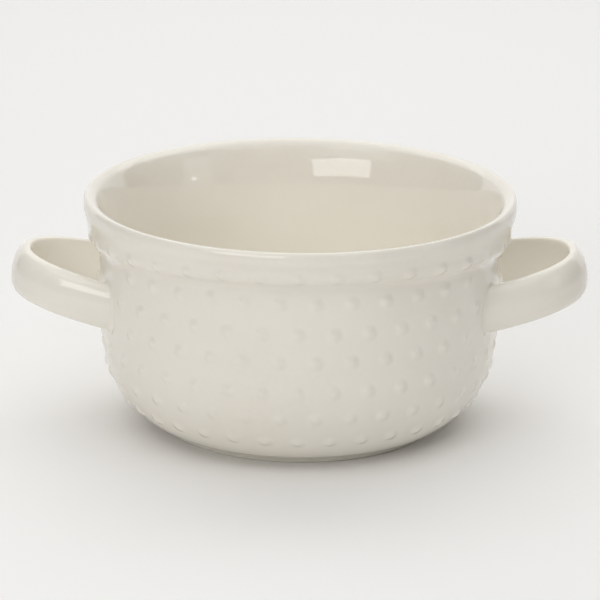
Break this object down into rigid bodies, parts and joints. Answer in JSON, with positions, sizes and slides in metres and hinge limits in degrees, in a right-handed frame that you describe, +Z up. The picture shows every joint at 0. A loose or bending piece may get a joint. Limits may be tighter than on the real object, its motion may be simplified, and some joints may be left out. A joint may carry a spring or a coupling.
{
  "type": "handled soup bowl",
  "caption": "Round stoneware soup bowl with a plain lip band, rows of raised beads on its wall, a low foot ring and a loop handle on each side.",
  "frame": {"origin": "centre of the foot ring's resting face", "axes": "+Z up along the bowl's axis, +X out through the right handle, the front of the bowl faces -Y"},
  "size_m": [0.1818, 0.135, 0.074],
  "materials": {
    "bowl_glaze": "gloss cream glaze",
    "handle_glaze": "gloss cream glaze",
    "joint_glaze": "gloss cream glaze over slip"
  },
  "bodies": {
    "root": {"bowl": "bowl_glaze", "right_handle": "handle_glaze", "left_handle": "handle_glaze", "right_front_joint": "joint_glaze", "right_rear_joint": "joint_glaze", "left_front_joint": "joint_glaze", "left_rear_joint": "joint_glaze"}
  },
  "joints": []
}
